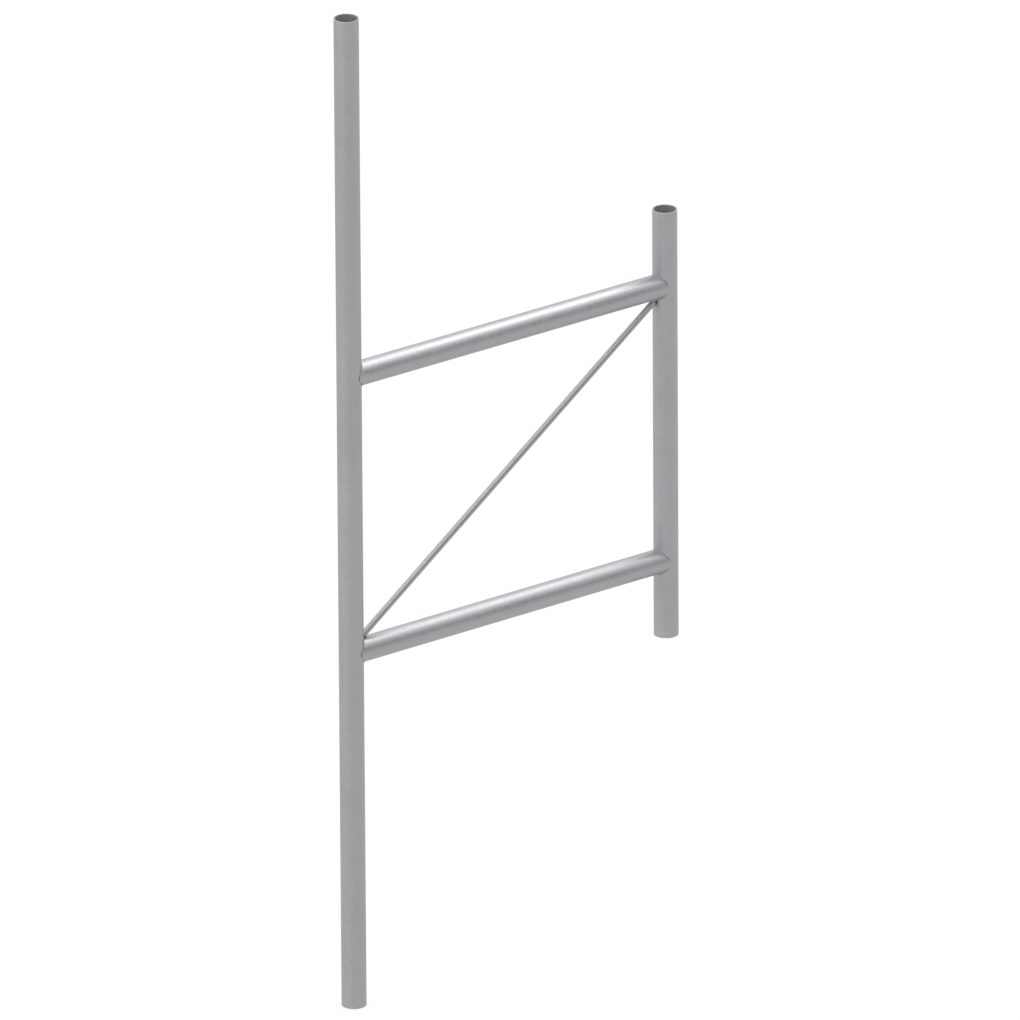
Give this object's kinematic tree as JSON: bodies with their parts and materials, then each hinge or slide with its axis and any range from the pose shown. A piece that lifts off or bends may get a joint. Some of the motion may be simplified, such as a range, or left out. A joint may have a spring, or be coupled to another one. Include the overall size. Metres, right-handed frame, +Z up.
{
  "type": "scaffold frame section",
  "caption": "Welded steel scaffold frame with a long and a short tubular standard, joined by level ledgers and braced by a diagonal bar.",
  "frame": {"origin": "centre of the long standard's open foot, on its axis", "axes": "+Z up along the long standard, +X from the long standard to the short one, +Y square to the plane of the frame"},
  "size_m": [0.8114, 0.0484, 2.03],
  "materials": {
    "tube": "hot-dip galvanised, dull grey zinc",
    "bar": "hot-dip galvanised, dull grey zinc",
    "weld": "weld bead, galvanised over"
  },
  "bodies": {
    "root": {"long_standard": "tube", "short_standard": "tube", "upper_ledger": "tube", "lower_ledger": "tube", "diagonal_bar": "bar", "upper_ledger_weld_long_top": "weld", "upper_ledger_weld_long_bottom": "weld", "upper_ledger_weld_short_top": "weld", "upper_ledger_weld_short_bottom": "weld", "lower_ledger_weld_long_top": "weld", "lower_ledger_weld_long_bottom": "weld", "lower_ledger_weld_short_top": "weld", "lower_ledger_weld_short_bottom": "weld", "upper_bar_weld_ledger": "weld", "upper_bar_weld_standard": "weld", "lower_bar_weld_ledger": "weld", "lower_bar_weld_standard": "weld"}
  },
  "joints": []
}
